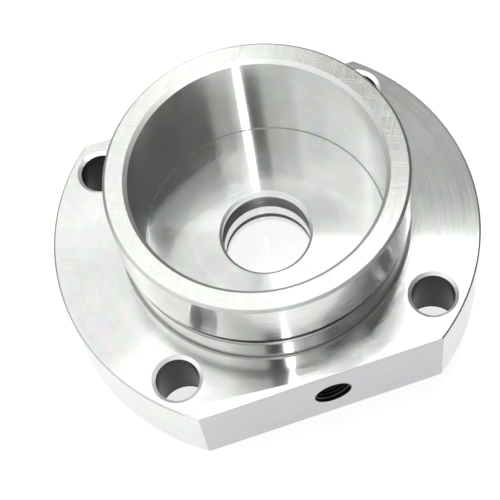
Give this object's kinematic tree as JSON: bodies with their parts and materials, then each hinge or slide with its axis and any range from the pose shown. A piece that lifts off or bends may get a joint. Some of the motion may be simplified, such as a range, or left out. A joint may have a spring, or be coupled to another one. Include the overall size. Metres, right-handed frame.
{
  "type": "mounting flange",
  "caption": "Round aluminium mounting flange with two flats, an open cup collar, a sealed centre bore and a threaded side air port.",
  "frame": {"origin": "where the axis of the centre bore meets the underside of the flange", "axes": "+Z along the bore axis, out of the cup's mouth; -Y out of the front flat with the air port; +X to the right when looking at that flat"},
  "size_m": [0.11, 0.0845, 0.051],
  "materials": {
    "machined_aluminium": "bright, turned and milled, not coated"
  },
  "bodies": {
    "root": {"flange": "machined_aluminium"}
  },
  "joints": []
}
